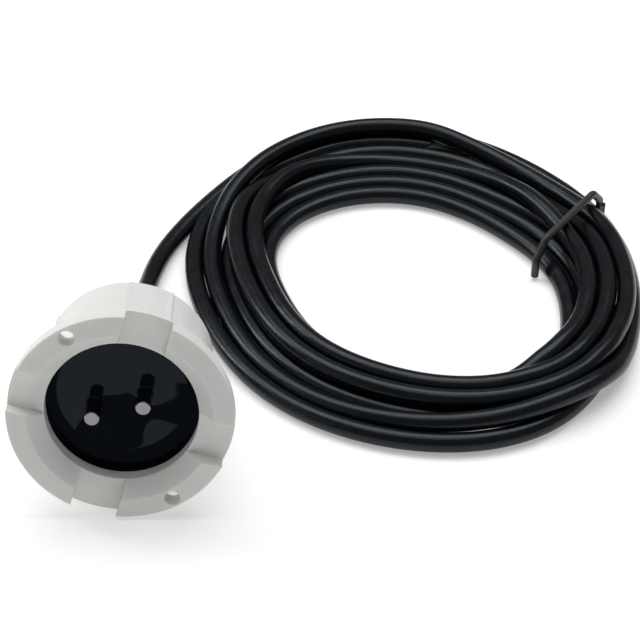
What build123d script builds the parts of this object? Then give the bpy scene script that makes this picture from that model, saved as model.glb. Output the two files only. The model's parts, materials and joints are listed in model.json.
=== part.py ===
"""Water leak sensor: a flanged plastic cup with two electrode pins, lying on its side beside its coiled cable.

The head is made on its own axis first: local +Z points out of its face, and local zero is the floor of the
drain channels. It is then laid on the floor plane, where it rests on its flange and on its rear edge.
"""
import os
from math import atan, cos, pi, radians, sin, sqrt, tan

from build123d import *

os.makedirs("parts", exist_ok=True)

# ---- housing, in millimetres ----
FLANGE_R = 22.5
FLANGE_BACK = 0.6              # flange left under the drain channels
LAND_HEIGHT = 3.0              # four raised sectors above the channel floors
CONE_TOP_R = 18.4              # inner edge of the flat land
RECESS_R = 15.3                # wall around the potting
POTTING_DEPTH = 3.2            # potting below the channel floors
MENISCUS = 0.45                # the potting creeps up the wall and the pins by this much
BODY_FRONT_R = 18.5
BODY_REAR_R = 17.0
BODY_LENGTH = 23.8             # channel floors to rear face
REAR_WALL = 2.4
CHANNEL_WIDTH = 9.4
CHANNEL_COUNT = 4
CHANNEL_ANGLE = 73.0           # first channel, from local +X
SCREW_HOLE_R = 1.6
SCREW_CIRCLE_R = 20.35
SCREW_ANGLE = CHANNEL_ANGLE + 45.0
PAD_DROP = 0.35                # the flat pads behind the channels lie this far inside the body's radius
EDGE_ROUND = 0.25

# ---- inside ----
BOARD_FRONT = -7.6
BOARD_THICKNESS = 1.6
BOARD_R = 15.2
BOARD_BACK = BOARD_FRONT - BOARD_THICKNESS
LEDGE_R = 14.2                 # the bore narrows behind the board
CAVITY_BACK = -(BODY_LENGTH - REAR_WALL)
PIN_R = 1.5
PIN_TIP = LAND_HEIGHT - 0.2
PIN_PITCH = 10.4
PIN_ANGLE = 13.0
PIN_MIDDLE = (-0.55, 1.2)      # the pin pair stands a little off the axis
PIN_COLLAR_R = 2.3
PIN_COLLAR_LENGTH = 1.0
PIN_TAIL_R = 0.6
PIN_TAIL_LENGTH = 1.2          # what stands out behind the board
PIN_CHAMFER = 0.12
JOINT_HEIGHT = 0.9             # solder
JOINT_R = 1.15
WIRE_JOINT_HEIGHT = 0.8
WIRE_JOINT_R = 0.85

# ---- cable ----
CABLE_D = 4.3
CORE_D = 1.3
CORE_CIRCLE_R = 0.95
PAD_SPREAD = 2.0               # the solder pads stand further apart than the cores
PAD_SHIFT = -0.6               # and lie a little to the left of the axis
SHEATH_START = -16.6           # the sheath ends here inside the cup
BUSHING_R = CABLE_D / 2 + 1.6
BUSHING_COLLAR_R = BUSHING_R + 0.9
BUSHING_COLLAR_LENGTH = 1.2
STRAIGHT_LENGTH = 11.0         # the cable leaves the rear wall straight for this far
FLOOR_GAP = 0.05               # cables lie this far above the floor
COIL_OUTER = (60.2, 60.1, 50.2, 60.5, 18.9)   # centre x and y, half widths, degrees turned
COIL_INNER = (61.2, 54.8, 28.4, 37.2, 38.3)
LAYER_STEP = CABLE_D * sqrt(3) / 2            # height of the second layer over the first
COIL_HEIGHT = CABLE_D + LAYER_STEP
SECOND_LAYER_INSET = CABLE_D / 2
TIE_ANGLES = (14.0, 27.0)      # where the tie crosses the inner and the outer edge, from +X
TIE_GAP = 0.4
TIE_D = 1.8
KNOT_R = TIE_D * 0.85
TAIL_R = TIE_D * 0.42
END_ANGLE = 70.0               # the far end lies among the turns on the floor, on the far side
END_SHARE = 0.84               # its place across the bundle, from the inner turn to the outer one
END_POCKET = (24.0, 5.8)
TINNED_LENGTH = 5.0
TINNED_R = 0.4
END_SPREADS = (1.0, 1.25, 2.6, 3.1)     # how the upper two cores swing outward, then lie on the floor
END_CORE_STATIONS = (-8.8, -3.2)        # along the turns, where a core bends
END_CORE_REACH = (6.0, 5.2, 5.6, 4.7)   # and where each one stops

# ---- how the head lies ----
REST_R = sqrt((BODY_REAR_R - PAD_DROP) ** 2 + (CHANNEL_WIDTH / 2) ** 2)   # rear edge of a flat pad
TILT = atan((FLANGE_R - REST_R) / (BODY_LENGTH - FLANGE_BACK))
ROUND_LOSS = EDGE_ROUND * (cos(TILT) + sin(TILT) - 1)
AXIS_HEIGHT = FLANGE_R * cos(TILT) + FLANGE_BACK * sin(TILT) - ROUND_LOSS
FRONT_REACH = FLANGE_R * sin(TILT) + LAND_HEIGHT * cos(TILT) - ROUND_LOSS
REAR_REACH = BODY_REAR_R * sin(TILT) + BODY_LENGTH * cos(TILT) - ROUND_LOSS
HEAD_Y = (FRONT_REACH - REAR_REACH) / 2     # puts the origin under the middle of the head
HEAD = Plane(
    origin=(0, HEAD_Y, AXIS_HEIGHT),
    x_dir=(1, 0, 0),
    z_dir=(0, -cos(TILT), sin(TILT)),
)


# Four insulated cores, in the order in which they stand round the sheath's middle at its two ends.
WIRE_NAMES = ("red", "black", "yellow", "green")
END_CORE_NAMES = ("black", "green", "red", "yellow")


def save(name, shape):
    """Write one node."""
    export_step(shape, f"parts/{name}.step")


def save_on_head(name, shape):
    """Write one node that was made on the head's own axis."""
    save(name, HEAD.location * shape)


def disc(radius, low, high):
    """A cylinder on the head's axis between two heights."""
    return Pos(0, 0, (low + high) / 2) * Cylinder(radius, high - low)


def block(x, y, z_top, length, width, height):
    """A box whose face nearest the board is at z_top, reaching backwards."""
    return Pos(x, y, z_top - height / 2) * Box(length, width, height)


def head_point(x, y, z):
    """Where a point of the head lies on the floor plane's axes."""
    return HEAD.from_local_coords(Vector(x, y, z))


def housing():
    profile = Polyline(
        (0, CAVITY_BACK),
        (LEDGE_R, CAVITY_BACK),
        (LEDGE_R, BOARD_BACK),
        (RECESS_R, BOARD_BACK),
        (RECESS_R, 0),
        (CONE_TOP_R, LAND_HEIGHT),
        (FLANGE_R, LAND_HEIGHT),
        (FLANGE_R, -FLANGE_BACK),
        (BODY_FRONT_R, -FLANGE_BACK),
        (BODY_REAR_R, -BODY_LENGTH),
        (0, -BODY_LENGTH),
        close=True,
    )
    section = make_face(profile)
    section = fillet(section.vertices().filter_by(stands_out), EDGE_ROUND)
    cup = revolve(Plane.XZ * section, Axis.Z)
    for quarter in range(CHANNEL_COUNT):
        angle = CHANNEL_ANGLE + quarter * 360 / CHANNEL_COUNT
        cup += Rot(0, 0, angle) * flat_pad()
        cup -= Rot(0, 0, angle) * channel_cutter()
    for side in (0, 180):
        cup -= Rot(0, 0, SCREW_ANGLE + side) * screw_hole_cutter()
    cup -= disc(BUSHING_R, -BODY_LENGTH - 1, CAVITY_BACK + 1)
    return cup


def stands_out(corner):
    """True for the profile's outer corners, which are rounded."""
    at_land = corner.Y > LAND_HEIGHT - 0.1
    at_flange = corner.X > FLANGE_R - 0.1
    at_rear_edge = corner.X > BODY_REAR_R - 0.1 and corner.Y < -BODY_LENGTH + 0.1
    return at_land or at_flange or at_rear_edge


def channel_cutter():
    """A straight drain channel from the recess out past the flange."""
    inner = RECESS_R - 3
    length = FLANGE_R + 3 - inner
    return Pos(inner + length / 2, 0, LAND_HEIGHT) * Box(length, CHANNEL_WIDTH, 2 * LAND_HEIGHT)


def flat_pad():
    """The flat strip that runs back along the tapered body behind a channel."""
    outline = Polyline(
        (RECESS_R + 0.5, -FLANGE_BACK),
        (BODY_FRONT_R - PAD_DROP, -FLANGE_BACK),
        (BODY_REAR_R - PAD_DROP, -BODY_LENGTH),
        (RECESS_R + 0.5, -BODY_LENGTH),
        close=True,
    )
    pad = extrude(Plane.XZ * make_face(outline), CHANNEL_WIDTH / 2, both=True)
    rear_edge = pad.edges().group_by(Axis.Z)[0].sort_by(Axis.X)[-1]
    return fillet(rear_edge, EDGE_ROUND)


def screw_hole_cutter():
    height = LAND_HEIGHT + FLANGE_BACK + 2
    middle = (LAND_HEIGHT - FLANGE_BACK) / 2
    return Pos(SCREW_CIRCLE_R, 0, middle) * Cylinder(SCREW_HOLE_R, height)


def pin_place(side):
    """Local x and y of the pin on the left (-1) or right (+1)."""
    x = PIN_MIDDLE[0] + side * PIN_PITCH / 2 * cos(radians(PIN_ANGLE))
    y = PIN_MIDDLE[1] + side * PIN_PITCH / 2 * sin(radians(PIN_ANGLE))
    return x, y


def electrode(side):
    """A pin with a collar that sits on the board and a thin tail soldered behind it."""
    x, y = pin_place(side)
    pin = disc(PIN_R, BOARD_FRONT, PIN_TIP)
    tip_edge = pin.edges().filter_by(GeomType.CIRCLE).sort_by(Axis.Z)[-1]
    pin = chamfer(tip_edge, PIN_CHAMFER)
    pin += disc(PIN_COLLAR_R, BOARD_FRONT, BOARD_FRONT + PIN_COLLAR_LENGTH)
    pin += disc(PIN_TAIL_R, BOARD_BACK - PIN_TAIL_LENGTH, BOARD_FRONT)
    return Pos(x, y, 0) * pin


def front_potting():
    """The black potting over the board, with its surface drawn up at the wall and at both pins."""
    level = -POTTING_DEPTH
    sag = MENISCUS * (1 - sqrt(0.5))
    surface = Line((0, level), (RECESS_R - MENISCUS, level))
    surface += ThreePointArc(
        (RECESS_R - MENISCUS, level), (RECESS_R - sag, level + sag), (RECESS_R, level + MENISCUS),
    )
    surface += Polyline((RECESS_R, level + MENISCUS), (RECESS_R, BOARD_FRONT), (0, BOARD_FRONT), (0, level))
    potting = revolve(Plane.XZ * make_face(surface), Axis.Z)
    foot = PIN_R + MENISCUS
    collar = ThreePointArc((foot, level), (PIN_R + sag, level + sag), (PIN_R, level + MENISCUS))
    collar += Polyline(
        (PIN_R, level + MENISCUS), (PIN_R - 0.5, level + MENISCUS), (PIN_R - 0.5, level - 0.5),
        (foot, level - 0.5), (foot, level),
    )
    for side in (-1, 1):
        x, y = pin_place(side)
        potting += Pos(x, y, 0) * revolve(Plane.XZ * make_face(collar), Axis.Z)
    return potting


def circuit_board():
    board = disc(BOARD_R, BOARD_BACK, BOARD_FRONT)
    for side in (-1, 1):
        x, y = pin_place(side)
        board -= Pos(x, y, 0) * disc(PIN_TAIL_R, BOARD_BACK - 1, BOARD_FRONT + 1)
    return board


def comparator_chip():
    """An eight-leg chip, four bent legs on each side."""
    y = -5.5
    length, width, height = 4.9, 3.9, 1.5
    pitch, leg_width, foot_length, rise = 1.27, 0.4, 1.0, 0.9
    thickness = 0.2
    chip = block(0, y, BOARD_BACK - 0.1, length, width, height)
    for index in range(4):
        for side in (-1, 1):
            x = (index - 1.5) * pitch
            foot_y = y + side * (width / 2 + 0.45)
            knee_y = y + side * (width / 2 + 0.05)
            chip += block(x, foot_y, BOARD_BACK, leg_width, foot_length, thickness)
            chip += block(x, knee_y, BOARD_BACK, leg_width, thickness, rise)
    return chip


def voltage_regulator():
    """A flat three-leg regulator with its heat tab."""
    x, y = -8.6, -3.0
    pitch = 1.5
    thickness = 0.4
    body = block(x, y, BOARD_BACK, 2.5, 4.5, 1.5)
    tab = block(x - 1.6, y, BOARD_BACK, 1.0, 1.6, thickness)
    legs = [block(x + 1.65, y + step * pitch, BOARD_BACK, 0.9, 0.45, thickness) for step in (-1, 0, 1)]
    return body + tab + legs


def output_transistor():
    """A small three-leg transistor, two legs on one side and one on the other."""
    x, y = 7.6, -3.6
    pitch, leg_reach = 0.95, 0.95
    leg_length, leg_width, thickness = 0.7, 0.4, 0.25
    body = block(x, y, BOARD_BACK, 1.3, 2.9, 1.1)
    for step in (-1, 1):
        body += block(x - leg_reach, y + step * pitch, BOARD_BACK, leg_length, leg_width, thickness)
    return body + block(x + leg_reach, y, BOARD_BACK, leg_length, leg_width, thickness)


def resistors():
    """Six small chip resistors in two rows."""
    first_x, first_y = -1.8, 3.3
    step_x, step_y = 1.9, 2.4
    places = [(first_x + step_x * column, first_y + step_y * row) for row in range(2) for column in range(3)]
    return [block(x, y, BOARD_BACK, 0.85, 1.6, 0.45) for x, y in places]


def ceramic_capacitors():
    places = ((-9.2, 2.4), (4.4, -9.6), (-4.4, -9.6))
    return [block(x, y, BOARD_BACK, 2.0, 1.25, 0.9) for x, y in places]


def electrolytic_capacitor():
    """A can on its square foot."""
    can_r, can_height = 2.5, 5.4
    foot_width, foot_height = 5.3, 0.5
    can = disc(can_r, BOARD_BACK - can_height, BOARD_BACK - foot_height / 2)
    foot = block(0, 0, BOARD_BACK, foot_width, foot_width, foot_height)
    return Pos(9.0, 2.9, 0) * (can + foot)


def protection_diode():
    """A block-shaped diode with a tab at each end."""
    x, y = 2.0, 9.6
    body = block(x, y, BOARD_BACK, 4.2, 2.5, 2.0)
    tabs = [block(x + side * 2.35, y, BOARD_BACK, 0.8, 1.4, 0.5) for side in (-1, 1)]
    return body + tabs


def wire_pad(index):
    """Local x and y of the solder pad of one of the four wires."""
    x, y = core_offset(index)
    return PAD_SHIFT + x * PAD_SPREAD, y * PAD_SPREAD


def solder_joints():
    """Small cones at the two pin tails and the four wire pads."""
    joints = []
    for side in (-1, 1):
        x, y = pin_place(side)
        cone = Pos(x, y, BOARD_BACK - JOINT_HEIGHT / 2) * Cone(0.65 * JOINT_R, JOINT_R, JOINT_HEIGHT)
        joints.append(cone - Pos(x, y, 0) * disc(PIN_TAIL_R, BOARD_BACK - 2, BOARD_FRONT))
    for index in range(len(WIRE_NAMES)):
        x, y = wire_pad(index)
        cone = Cone(0.82 * WIRE_JOINT_R, WIRE_JOINT_R, WIRE_JOINT_HEIGHT)
        joints.append(Pos(x, y, BOARD_BACK - WIRE_JOINT_HEIGHT / 2) * cone)
    return joints


def core_offset(index):
    """The four cores lie in a square inside the sheath."""
    angle = radians(45 + 90 * index)
    return CORE_CIRCLE_R * cos(angle), CORE_CIRCLE_R * sin(angle)


def lead_wire(index):
    """One insulated core from the end of the sheath to its pad."""
    x0, y0 = core_offset(index)
    x1, y1 = wire_pad(index)
    straight_out, straight_in = 2.2, 2.6
    pad_top = BOARD_BACK - WIRE_JOINT_HEIGHT
    start = (x0, y0, SHEATH_START)
    path = FilletPolyline(
        start,
        (x0, y0, SHEATH_START + straight_out),
        (x1, y1, pad_top - straight_in),
        (x1, y1, pad_top),
        radius=0.8,
    )
    return sweep(Plane(origin=start, z_dir=(0, 0, 1)) * Circle(CORE_D / 2), path=path)


def strain_tie():
    """A nylon tie pulled tight round the sheath inside the rear wall, with its square lock."""
    low, high = CAVITY_BACK, CAVITY_BACK + 2.5
    thickness = 1.0
    lock_width, lock_height = 4.0, 3.0
    band = disc(CABLE_D / 2 + thickness, low, high)
    lock_y = CABLE_D / 2 + thickness - 0.4 + lock_height / 2
    band += Pos(0, lock_y, (low + high) / 2) * Box(lock_width, lock_height, high - low)
    return band - disc(CABLE_D / 2, low - 1, high + 1)


def cable_bushing():
    """A soft sleeve in the rear wall that the cable passes through."""
    rear = -BODY_LENGTH - BUSHING_COLLAR_LENGTH
    sleeve = disc(BUSHING_R, -BODY_LENGTH, CAVITY_BACK)
    collar = disc(BUSHING_COLLAR_R, rear, -BODY_LENGTH)
    collar_edge = collar.edges().filter_by(GeomType.CIRCLE).sort_by(Axis.Z)[0]
    return sleeve + fillet(collar_edge, 0.7) - disc(CABLE_D / 2, rear - 1, CAVITY_BACK + 1)


def lead_points():
    """The lead: straight out of the bushing, down to the floor, then out to the coil's far left."""
    inside = head_point(0, 0, SHEATH_START)
    straight = head_point(0, 0, -BODY_LENGTH - STRAIGHT_LENGTH)
    floor = CABLE_D / 2 + FLOOR_GAP
    return [
        inside,
        straight,
        Vector(-0.6, 38.5, 7.4),
        Vector(-0.5, 53.0, 2.6),
        Vector(2.0, 66.5, floor),
        Vector(7.4, 78.4, floor),
        Vector(13.9, 89.2, floor),
        Vector(20.4, 98.4, floor),
        Vector(25.2, 103.2, floor),
    ]


def bend_radii(points):
    """The largest tangent arcs that the runs leave room for."""
    radii = []
    for before, corner, after in zip(points, points[1:], points[2:]):
        shorter = min((corner - before).length, (after - corner).length)
        turn = radians((corner - before).get_angle(after - corner))
        radii.append(0.45 * shorter / tan(turn / 2))
    return radii


def tube(points, diameter, label):
    """A round tube along straight runs joined by tangent arcs."""
    radii = bend_radii(points)
    path = FilletPolyline(*points, radius=radii)
    section = Plane(origin=points[0], z_dir=points[1] - points[0]) * Circle(diameter / 2)
    solid = sweep(section, path=path)
    expected = pi * diameter ** 2 / 4 * path.length
    print(label, "length", round(path.length, 1), "radii", [round(radius, 1) for radius in radii],
          "volume over section x length", round(solid.volume / expected, 4))
    return solid


def on_oval(oval, angle):
    """The point of an oval that lies in one direction from its centre."""
    x, y, half_a, half_b, turned = oval
    across, along = cos(radians(angle - turned)) / half_a, sin(radians(angle - turned)) / half_b
    reach = 1 / sqrt(across ** 2 + along ** 2)
    return Vector(x + reach * cos(radians(angle)), y + reach * sin(radians(angle)))


def across_bundle(angle, share):
    """The place of a turn on the floor: share 0 is the innermost and 1 the outermost."""
    inner, outer = on_oval(COIL_INNER, angle), on_oval(COIL_OUTER, angle)
    outward = (outer - inner).normalized()
    return inner + outward * (CABLE_D / 2 + share * ((outer - inner).length - CABLE_D)), outward


def oval_face(oval, growth):
    x, y, half_a, half_b, turned = oval
    return Pos(x, y) * Rot(0, 0, turned) * Ellipse(half_a + growth, half_b + growth)


def coil_ring():
    """The outer shape of the coiled turns: an oval ring of two layers, the upper one narrower."""
    lower = extrude(oval_face(COIL_OUTER, 0) - oval_face(COIL_INNER, 0), CABLE_D)
    upper = oval_face(COIL_OUTER, -SECOND_LAYER_INSET) - oval_face(COIL_INNER, SECOND_LAYER_INSET)
    return lower + Pos(0, 0, CABLE_D) * extrude(upper, COIL_HEIGHT - CABLE_D)


def end_plane():
    """The floor at the far end: local X runs along the turns and local Y outward."""
    place, outward = across_bundle(END_ANGLE, END_SHARE)
    return Plane(origin=place, x_dir=(outward.Y, -outward.X, 0), z_dir=(0, 0, 1))


def end_pocket():
    """The room that the stripped cores take up among the turns, open underneath."""
    length, width = END_POCKET
    return end_plane() * Pos(0, 0, CABLE_D / 2 - 1) * Box(length, width, CABLE_D + 2)


def end_core_points(index):
    """A stripped core at the far end: the upper two spread outward and then drop beside the lower two."""
    side, up = core_offset(index)
    start = -END_POCKET[0] / 2 + 0.05
    floor = CORE_D / 2 + FLOOR_GAP
    level = CABLE_D / 2 + up
    if up > 0:
        heights = (level, level, 2.5 * floor, floor)
        spreads = END_SPREADS
    else:
        heights = (level, level, floor + 0.05, floor)
        spreads = (1.0, 1.0, 1.04, 1.06)
    along = (start, *END_CORE_STATIONS, END_CORE_REACH[index])
    points = []
    for x, spread, height in zip(along, spreads, heights):
        points.append(end_plane().from_local_coords(Vector(x, side * spread, height)))
    return points


def end_core(index):
    return tube(end_core_points(index), CORE_D, f"end core {index}")


def tinned_tip(index):
    """The tinned strands that stand out of a core's insulation."""
    before, last = end_core_points(index)[-2:]
    place = Plane(origin=last, z_dir=last - before)
    return place.location * Pos(0, 0, TINNED_LENGTH / 2) * Cylinder(TINNED_R, TINNED_LENGTH)


def coil_tie():
    """A soft round tie bent over the whole bundle on a slant, with its twisted ends at the outer edge."""
    inner, outer = on_oval(COIL_INNER, TIE_ANGLES[0]), on_oval(COIL_OUTER, TIE_ANGLES[1])
    outward = (outer - inner).normalized()
    place = Plane(origin=(inner + outer) / 2, x_dir=outward, z_dir=(outward.Y, -outward.X, 0))
    half = (outer - inner).length / 2 + TIE_D / 2 + 2 * TIE_GAP
    shoulder = CABLE_D + TIE_D / 2
    inset = half - SECOND_LAYER_INSET - TIE_D
    top = COIL_HEIGHT + TIE_D / 2 + TIE_GAP
    low = TIE_D / 2 + FLOOR_GAP
    corners = [(-half, low), (-half, shoulder), (-inset, top), (inset, top), (half, shoulder), (half, low)]
    path = FilletPolyline(*[place.from_local_coords(Vector(x, y)) for x, y in corners], radius=TIE_D)
    band = sweep(Plane(origin=path @ 0, z_dir=path % 0) * Circle(TIE_D / 2), path=path)
    twist_place = place * Pos(half + TIE_D * 0.35, shoulder * 0.75, 0)
    twist = twist_place * scale(Sphere(KNOT_R), by=(0.9, 1.2, 1.1))
    tail_place = place * Pos(half + TIE_D * 0.9, shoulder * 0.35, 0)
    tail = tail_place * Rot(X=90) * Cylinder(TAIL_R, TIE_D * 1.4)
    return band + twist + tail


def build():
    inside_pieces = {
        "comparator_chip": comparator_chip(),
        "voltage_regulator": voltage_regulator(),
        "output_transistor": output_transistor(),
        "electrolytic_capacitor": electrolytic_capacitor(),
        "protection_diode": protection_diode(),
        "strain_tie": strain_tie(),
    }
    for index, colour in enumerate(WIRE_NAMES):
        inside_pieces[f"wire_{colour}"] = lead_wire(index)
    electrodes = {"electrode_left": electrode(-1), "electrode_right": electrode(1)}
    groups = {
        "resistors": resistors(),
        "ceramic_capacitors": ceramic_capacitors(),
        "solder_joints": solder_joints(),
    }

    front = front_potting()
    rear = disc(LEDGE_R, CAVITY_BACK, BOARD_BACK) - disc(CABLE_D / 2, CAVITY_BACK - 1, SHEATH_START)
    for piece in electrodes.values():
        front -= piece
        rear -= piece
    for piece in inside_pieces.values():
        rear -= piece
    for group in groups.values():
        for piece in group:
            rear -= piece

    save_on_head("housing", housing())
    save_on_head("potting_front", front)
    save_on_head("potting_rear", rear)
    save_on_head("circuit_board", circuit_board())
    save_on_head("cable_bushing", cable_bushing())
    for name, piece in {**electrodes, **inside_pieces}.items():
        save_on_head(name, piece)
    for name, group in groups.items():
        save(name, Compound(children=[HEAD.location * piece for piece in group]))

    tips = [tinned_tip(index) for index in range(len(END_CORE_NAMES))]
    ring = coil_ring()
    save("cable_lead", tube(lead_points(), CABLE_D, "lead") - ring)
    save("cable_coil", ring - end_pocket())
    save("coil_tie", coil_tie())
    for index, colour in enumerate(END_CORE_NAMES):
        save(f"end_core_{colour}", end_core(index))
    save("tinned_tips", Compound(children=tips))


build()
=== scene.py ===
"""Looks of the water leak sensor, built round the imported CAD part.

Lengths are in metres, apart from the coil's, which are in millimetres like the part's own.
"""
import json
import math

import bpy
import numpy as np
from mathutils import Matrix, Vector


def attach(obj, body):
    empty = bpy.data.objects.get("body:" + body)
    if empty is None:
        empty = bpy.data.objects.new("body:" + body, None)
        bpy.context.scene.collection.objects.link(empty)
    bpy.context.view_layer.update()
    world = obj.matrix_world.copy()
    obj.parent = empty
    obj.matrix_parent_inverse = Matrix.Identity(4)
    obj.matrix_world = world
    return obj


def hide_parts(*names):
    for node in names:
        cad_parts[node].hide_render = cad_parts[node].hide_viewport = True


MM = 0.001

# ---- camera ----
CAMERA_PLACE = Vector((0.0386, -0.3021, 0.2867))
CAMERA_ELEVATION = math.radians(39.5)
CAMERA_TURN = math.radians(-0.1)
CAMERA_LENS = 112.5

# ---- cable ----
CABLE_D = 4.3                            # millimetres
# The lead from the place inside the head where the sheath starts to the far left of the coil, in metres.
LEAD = (
    (0.0, 0.00665, 0.01841),
    (0.0, 0.0244, 0.01443),
    (-0.0006, 0.0385, 0.0074),
    (-0.0005, 0.053, 0.0026),
    (0.0020, 0.0665, 0.0022),
    (0.0074, 0.0784, 0.0022),
    (0.0139, 0.0892, 0.0022),
    (0.0204, 0.0984, 0.0022),
)

# ---- coil, in millimetres and degrees ----
# Centre x and y, half widths, degrees turned, then the size and the first direction of the soft corners.
OUTER_OVAL = (60.2, 59.8, 50.2, 60.2, 18.9, 0.5, 18.0)
INNER_OVAL = (61.2, 54.8, 28.6, 37.4, 38.3, 0.4, 8.0)
# Each turn's place at its far, right, near and left side: (share across the bundle, height in diameters).
TURNS = (
    ((1.0, 0.5), (1.0, 0.5), (0.73, 1.35), (0.757, 1.35)),
    ((0.87, 1.37), (0.93, 1.35), (0.38, 1.35), (0.38, 1.35)),
    ((0.67, 0.5), (0.65, 1.35), (0.07, 1.35), (0.08, 1.35)),
    ((0.51, 0.5), (0.36, 1.35), (0.0, 0.5), (0.0, 0.5)),
    ((0.0, 0.5), (0.0, 0.5), (0.3, 0.5), (0.3, 0.5)),
    ((0.17, 0.5), (0.3, 0.5), (0.61, 0.5), (0.61, 0.5)),
    ((0.341, 0.5), (0.62, 0.5), (1.0, 0.5), (1.0, 0.5)),
    ((0.84, 0.5),),
)
CHANGES = ((95, 185), (185, 262), (272, 340), (350, 435))    # degrees over which a turn changes sides
CORNER_COUNT = 5
COIL_START = 55.0              # clockwise from the coil's left side
COIL_END = 98.0                # in the last turn
COIL_STEP = 5.0
# How the turns settle, for each of the rounds:
SETTLE_ROUNDS = 300
NEIGHBOURS = 8                 # points this near along the cable don't push each other
PUSH = 0.35                    # of the overlap
LONGEST_PUSH = 0.4
SINK = 0.03
STIFFNESS = 0.35               # how far a point follows the two beside it
PULL_HOME = 0.02               # of the way back to the planned route, sideways only
FLOOR_GAP = 0.02


def make_camera():
    data = bpy.data.cameras.new("camera")
    data.lens = CAMERA_LENS
    data.sensor_width = 36.0
    data.clip_start = 0.01
    data.clip_end = 20.0
    camera = bpy.data.objects.new("camera", data)
    camera.location = CAMERA_PLACE
    camera.rotation_euler = (math.pi / 2 - CAMERA_ELEVATION, 0.0, CAMERA_TURN)
    bpy.context.collection.objects.link(camera)
    bpy.context.scene.camera = camera


def smooth_step(share):
    """From 0 to 1 with a soft start and end."""
    share = min(max(share, 0.0), 1.0)
    return share * share * (3 - 2 * share)


def soften(corner, angle):
    """How much further out than the plain oval, in the direction of a soft corner or between two."""
    return corner * math.cos(CORNER_COUNT * math.radians(angle))


def on_oval(oval, angle):
    """The point of an oval that lies in one direction from its centre."""
    x, y, half_a, half_b, turned, corner, first_corner = oval
    across = math.cos(math.radians(angle - turned)) / half_a
    along = math.sin(math.radians(angle - turned)) / half_b
    reach = 1 / math.hypot(across, along) + soften(corner, angle - first_corner)
    return np.array((x + reach * math.cos(math.radians(angle)), y + reach * math.sin(math.radians(angle))))


def turn_place(travelled):
    """Where the cable is after so many degrees clockwise from the coil's left side."""
    stations = [station for turn in TURNS for station in turn]
    share, height = stations[0]
    for index, (before, after) in enumerate(zip(stations, stations[1:])):
        start, end = CHANGES[index % 4]
        done = smooth_step((travelled - 360 * (index // 4) - start) / (end - start))
        share += (after[0] - before[0]) * done
        height += (after[1] - before[1]) * done
    inner, outer = on_oval(INNER_OVAL, 180 - travelled), on_oval(OUTER_OVAL, 180 - travelled)
    width = np.linalg.norm(outer - inner)
    place = inner + (outer - inner) / width * (CABLE_D / 2 + share * (width - CABLE_D))
    return (place[0], place[1], height * CABLE_D)


def coil_turns():
    """The planned route of all the turns, before they settle."""
    total = 360 * (len(TURNS) - 1) + COIL_END - COIL_START
    count = round(total / COIL_STEP)
    return np.array([turn_place(COIL_START + total * index / count) for index in range(count + 1)])


def settle(points):
    """Pushes turns apart that are closer than a diameter and lets them sink onto each other."""
    home = points.copy()
    number = np.arange(len(points))
    beside = np.abs(number[:, None] - number[None, :-1]) < NEIGHBOURS
    for _ in range(SETTLE_ROUNDS):
        starts, runs = points[:-1], np.diff(points, axis=0)
        along = ((points[:, None] - starts[None]) * runs[None]).sum(2) / (runs ** 2).sum(1)
        along = np.clip(along, 0, 1)
        apart = points[:, None] - starts[None] - along[..., None] * runs[None]
        gap = np.linalg.norm(apart, axis=2)
        gap[beside] = 10 * CABLE_D
        who, other = np.nonzero(gap < CABLE_D)
        share = along[who, other][:, None]
        push = PUSH * (CABLE_D / gap[who, other] - 1)[:, None] * apart[who, other]
        moves = np.zeros_like(points)
        np.add.at(moves, who, push)
        np.add.at(moves, other, -push * (1 - share))
        np.add.at(moves, other + 1, -push * share)
        moves = np.clip(moves, -LONGEST_PUSH, LONGEST_PUSH)
        moves[:, 2] -= SINK
        strayed = points - home
        moves[1:-1] += STIFFNESS * ((strayed[:-2] + strayed[2:]) / 2 - strayed[1:-1])
        moves[:, :2] += PULL_HOME * (home - points)[:, :2]
        points[2:] += moves[2:]
        points[:, 2] = np.maximum(points[:, 2], CABLE_D / 2 + FLOOR_GAP)
    return points


def make_cable():
    """One open curve from inside the head, along the lead and round all the turns."""
    points = np.vstack([LEAD, settle(coil_turns()) * MM])
    curve = bpy.data.curves.new("cable", "CURVE")
    curve.dimensions = "3D"
    curve.bevel_depth = 1.0              # times each point's radius
    curve.bevel_resolution = 6
    curve.resolution_u = 4
    curve.use_fill_caps = True
    spline = curve.splines.new("NURBS")
    spline.points.add(len(points) - 1)
    for point, place in zip(spline.points, points):
        point.co = (*place, 1.0)
        point.radius = CABLE_D / 2 * MM  # Blender's box round the curve grows by this much
    spline.order_u = 3
    spline.use_endpoint_u = True
    cable = bpy.data.objects.new("cable", curve)
    bpy.context.collection.objects.link(cable)
    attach(cable, "root")
    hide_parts("cable_lead", "cable_coil")
    return cable


# ---- materials ----
NOISE_LOW, NOISE_HIGH = 0.3, 0.7             # most of a noise's values lie between these
PAINTED_REFLECTION_SIZE = 0.014                        # size of the painted reflection patches, where a stronger mirror stands in for the surroundings reflected in the epoxy
PAINTED_REFLECTION_EDGE = (0.425, 0.44)                   # the noise's values between which a painted reflection patch starts
PAINTED_REFLECTION_MIDDLE = (0.0, -0.0059, 0.0240)        # the painted reflection patches stop this far from a point above the middle
PAINTED_REFLECTION_REACH = 0.0128
PAINTED_REFLECTION_FADE = 0.0004
PAINTED_REFLECTION_GLOSS = (0.03, 0.18)                   # mirror strength outside and inside the painted reflection patches


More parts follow.
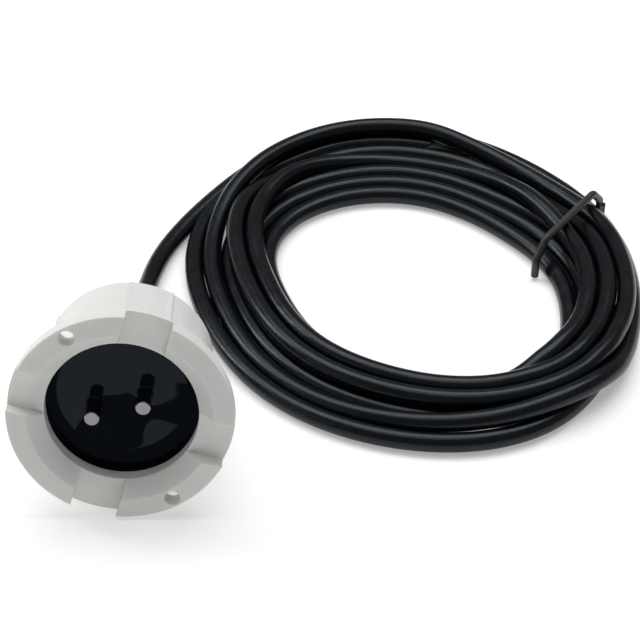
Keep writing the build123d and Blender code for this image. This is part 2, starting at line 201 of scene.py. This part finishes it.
class Nodes:
    """Short calls for building one material's node tree."""

    def __init__(self, name):
        self.material = bpy.data.materials.new(name)
        self.material.use_nodes = True
        self.tree = self.material.node_tree
        self.shader = self.tree.nodes["Principled BSDF"]

    def add(self, kind, **inputs):
        node = self.tree.nodes.new(kind)
        for name, value in inputs.items():
            node.inputs[name.replace("_", " ")].default_value = value
        return node

    def link(self, source, target):
        self.tree.links.new(source, target)

    def set(self, **values):
        for name, value in values.items():
            self.shader.inputs[name.replace("_", " ")].default_value = value

    def noise(self, size, detail=4.0):
        """Noise whose lumps are about that many metres across, fixed to the object."""
        where = self.add("ShaderNodeTexCoord")
        noise = self.add("ShaderNodeTexNoise", Scale=1.0 / size, Detail=detail)
        self.link(where.outputs["Object"], noise.inputs["Vector"])
        return noise.outputs["Fac"]

    def blend(self, factor, low, high):
        """A colour between two, by a noise."""
        ramp = self.add("ShaderNodeValToRGB")
        ramp.color_ramp.elements[0].position = NOISE_LOW
        ramp.color_ramp.elements[1].position = NOISE_HIGH
        ramp.color_ramp.elements[0].color = (*low, 1.0)
        ramp.color_ramp.elements[1].color = (*high, 1.0)
        self.link(factor, ramp.inputs["Fac"])
        return ramp.outputs["Color"]

    def span(self, factor, low, high, start=NOISE_LOW, end=NOISE_HIGH):
        """A number that goes from low to high while the factor goes from start to end."""
        spread = self.add("ShaderNodeMapRange", From_Min=start, From_Max=end, To_Min=low, To_Max=high)
        self.link(factor, spread.inputs["Value"])
        return spread.outputs["Result"]

    def surface(self, colours, rough, size, bump_size, bump, round_edge=0.0, bump_detail=3.0):
        """Colour and roughness that vary over lumps of that size, fine bump and softened edges."""
        lumps = self.noise(size)
        self.link(self.blend(lumps, *colours), self.shader.inputs["Base Color"])
        self.link(self.span(self.noise(size / 3), *rough), self.shader.inputs["Roughness"])
        grain = self.add("ShaderNodeBump", Strength=1.0, Distance=bump)
        self.link(self.noise(bump_size, bump_detail), grain.inputs["Height"])
        if round_edge:
            edge = self.add("ShaderNodeBevel", Radius=round_edge)
            self.link(edge.outputs["Normal"], grain.inputs["Normal"])
        self.link(grain.outputs["Normal"], self.shader.inputs["Normal"])


def white_abs():
    made = Nodes("white_abs")
    made.surface(
        colours=((0.69, 0.70, 0.68), (0.75, 0.755, 0.735)),
        rough=(0.34, 0.46),
        size=0.02, bump_size=0.0006, bump=0.00001, round_edge=0.00025,
    )
    made.set(Subsurface_Weight=0.25, Subsurface_Scale=0.0025, Specular_IOR_Level=0.4)
    made.shader.inputs["Subsurface Radius"].default_value = (1.0, 0.97, 0.7)
    return made.material


def black_epoxy():
    """Poured potting: nearly black, with a painted reflection: its mirror strength is raised in patches
    with sharp wavy outlines, standing in for the light and dark of the surroundings mirrored in the
    surface.
    """
    made = Nodes("black_epoxy")
    made.surface(
        colours=((0.0014, 0.0022, 0.004), (0.002, 0.003, 0.005)),
        rough=(0.03, 0.06),
        size=0.008, bump_size=0.011, bump=0.0002, bump_detail=0.0,
    )
    made.set(Specular_Tint=(0.72, 0.86, 1.0, 1.0))
    # painted reflection: stronger mirror in wavy patches within reach of a point above the middle,
    # standing in for the surroundings reflected in the epoxy
    inside_painted_reflection = made.span(made.noise(PAINTED_REFLECTION_SIZE, 1.0), 0.0, 1.0, *PAINTED_REFLECTION_EDGE)
    where = made.add("ShaderNodeTexCoord")
    away = made.add("ShaderNodeVectorMath")
    away.operation = "DISTANCE"
    away.inputs[1].default_value = PAINTED_REFLECTION_MIDDLE
    made.link(where.outputs["Object"], away.inputs[0])
    inside_reach = made.span(away.outputs["Value"], 1.0, 0.0, PAINTED_REFLECTION_REACH, PAINTED_REFLECTION_REACH + PAINTED_REFLECTION_FADE)
    painted_reflection_mask = made.add("ShaderNodeMath")
    painted_reflection_mask.operation = "MULTIPLY"
    made.link(inside_reach, painted_reflection_mask.inputs[0])
    made.link(inside_painted_reflection, painted_reflection_mask.inputs[1])
    painted_reflection_strength = made.span(painted_reflection_mask.outputs["Value"], *PAINTED_REFLECTION_GLOSS, 0.0, 1.0)
    made.link(painted_reflection_strength, made.shader.inputs["Specular IOR Level"])
    return made.material


def electrode_steel():
    made = Nodes("electrode_steel")
    made.surface(
        colours=((0.2, 0.2, 0.21), (0.27, 0.27, 0.28)),
        rough=(0.12, 0.2),
        size=0.004, bump_size=0.0012, bump=0.000002, round_edge=0.0001,
    )
    made.set(Metallic=1.0)
    return made.material


def cable_black():
    made = Nodes("cable_black")
    made.surface(
        colours=((0.0015, 0.002, 0.003), (0.003, 0.0037, 0.0052)),
        rough=(0.2, 0.3),
        size=0.01, bump_size=0.0008, bump=0.00002,
    )
    made.set(Specular_IOR_Level=0.3, Specular_Tint=(0.82, 0.92, 1.0, 1.0))
    return made.material


def board_green():
    made = Nodes("board_green")
    made.surface(
        colours=((0.01, 0.10, 0.04), (0.03, 0.17, 0.07)),
        rough=(0.25, 0.4),
        size=0.003, bump_size=0.0006, bump=0.00002, round_edge=0.0001,
    )
    return made.material


def chip_black():
    made = Nodes("chip_black")
    made.surface(
        colours=((0.018, 0.018, 0.020), (0.035, 0.035, 0.037)),
        rough=(0.45, 0.6),
        size=0.001, bump_size=0.0001, bump=0.000006, round_edge=0.00008,
    )
    return made.material


def resistor_black():
    made = Nodes("resistor_black")
    made.surface(
        colours=((0.03, 0.03, 0.035), (0.07, 0.07, 0.07)),
        rough=(0.3, 0.5),
        size=0.001, bump_size=0.0002, bump=0.000005, round_edge=0.00006,
    )
    return made.material


def ceramic_tan():
    made = Nodes("ceramic_tan")
    made.surface(
        colours=((0.45, 0.32, 0.2), (0.58, 0.43, 0.28)),
        rough=(0.3, 0.5),
        size=0.001, bump_size=0.0002, bump=0.000005, round_edge=0.00006,
    )
    return made.material


def can_aluminium():
    made = Nodes("can_aluminium")
    made.surface(
        colours=((0.66, 0.66, 0.67), (0.78, 0.78, 0.79)),
        rough=(0.25, 0.4),
        size=0.002, bump_size=0.0002, bump=0.000004, round_edge=0.0001,
    )
    made.set(Metallic=1.0)
    return made.material


def solder_tin():
    made = Nodes("solder_tin")
    made.surface(
        colours=((0.55, 0.56, 0.57), (0.7, 0.7, 0.71)),
        rough=(0.2, 0.45),
        size=0.0015, bump_size=0.0003, bump=0.00002, round_edge=0.00005,
    )
    made.set(Metallic=1.0)
    return made.material


def nylon_white():
    made = Nodes("nylon_white")
    made.surface(
        colours=((0.7, 0.7, 0.66), (0.8, 0.8, 0.76)),
        rough=(0.35, 0.5),
        size=0.003, bump_size=0.0004, bump=0.00001, round_edge=0.0001,
    )
    return made.material


def tie_black():
    made = Nodes("tie_black")
    made.surface(
        colours=((0.010, 0.010, 0.011), (0.022, 0.022, 0.024)),
        rough=(0.35, 0.55),
        size=0.002, bump_size=0.0004, bump=0.00002, round_edge=0.00015,
    )
    return made.material


def core_colour(name, dark, light):
    made = Nodes(name)
    made.surface(
        colours=(dark, light),
        rough=(0.3, 0.45),
        size=0.004, bump_size=0.0005, bump=0.00001,
    )
    return made.material


def make_materials():
    return {
        "white_abs": white_abs(),
        "black_epoxy": black_epoxy(),
        "electrode_steel": electrode_steel(),
        "cable_black": cable_black(),
        "board_green": board_green(),
        "chip_black": chip_black(),
        "resistor_black": resistor_black(),
        "ceramic_tan": ceramic_tan(),
        "can_aluminium": can_aluminium(),
        "solder_tin": solder_tin(),
        "nylon_white": nylon_white(),
        "tie_black": tie_black(),
        "core_red": core_colour("core_red", (0.35, 0.01, 0.01), (0.5, 0.02, 0.02)),
        "core_black": core_colour("core_black", (0.008, 0.008, 0.008), (0.02, 0.02, 0.02)),
        "core_yellow": core_colour("core_yellow", (0.62, 0.42, 0.02), (0.78, 0.56, 0.04)),
        "core_green": core_colour("core_green", (0.01, 0.2, 0.04), (0.03, 0.32, 0.07)),
    }


def dress(frame, materials, cable):
    """Gives every node the material of its slot in the record."""
    for subpart in frame["record"]["subparts"]:
        node = frame["nodes"][subpart["node"]]
        node.data.materials.clear()
        node.data.materials.append(materials[subpart["material_slot"]])
    cable.data.materials.append(materials["cable_black"])


# ---- floor and light ----
FLOOR_HALF = 6.0
LIGHT_AIM = (0.04, 0.05, 0.0)


def make_floor():
    data = bpy.data.meshes.new("floor")
    signs = ((-1, -1), (1, -1), (1, 1), (-1, 1))
    corners = [(FLOOR_HALF * x, FLOOR_HALF * y, 0.0) for x, y in signs]
    data.from_pydata(corners, [], [(0, 1, 2, 3)])
    floor = bpy.data.objects.new("floor", data)
    bpy.context.collection.objects.link(floor)
    made = Nodes("floor")
    made.set(Base_Color=(0.85, 0.85, 0.85, 1.0), Roughness=0.9, Specular_IOR_Level=0.1)
    made.set(Emission_Color=(1.0, 1.0, 1.0, 1.0), Emission_Strength=0.3)
    data.materials.append(made.material)


def make_light(name, place, size, power):
    """A rectangular lamp that points at the object."""
    data = bpy.data.lights.new(name, "AREA")
    data.shape = "RECTANGLE"
    data.size, data.size_y = size
    data.energy = power
    light = bpy.data.objects.new(name, data)
    light.location = place
    light.rotation_euler = (Vector(LIGHT_AIM) - Vector(place)).to_track_quat("-Z", "Y").to_euler()
    bpy.context.collection.objects.link(light)


def make_lights():
    world = bpy.data.worlds.new("world")
    world.use_nodes = True
    background = world.node_tree.nodes["Background"]
    background.inputs["Color"].default_value = (1.0, 1.0, 1.0, 1.0)
    background.inputs["Strength"].default_value = 0.22
    bpy.context.scene.world = world
    bpy.context.scene.view_settings.view_transform = "Standard"
    make_light("top_back", (0.05, 0.40, 1.0), (1.3, 0.7), 9.5)
    make_light("top_front", (0.0, -0.13, 0.95), (0.5, 0.1), 0.6)
    make_light("left_back", (-0.75, 0.35, 0.55), (0.2, 0.6), 2.5)


make_camera()
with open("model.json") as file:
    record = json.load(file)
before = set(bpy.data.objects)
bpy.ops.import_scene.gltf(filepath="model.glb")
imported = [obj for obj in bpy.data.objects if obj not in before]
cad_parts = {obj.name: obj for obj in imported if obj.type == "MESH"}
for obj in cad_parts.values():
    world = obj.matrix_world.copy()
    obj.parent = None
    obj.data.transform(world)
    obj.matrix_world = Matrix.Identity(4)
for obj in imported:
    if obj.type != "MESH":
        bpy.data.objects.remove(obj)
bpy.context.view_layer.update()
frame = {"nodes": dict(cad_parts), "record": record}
cable = make_cable()
dress(frame, make_materials(), cable)
make_floor()
make_lights()
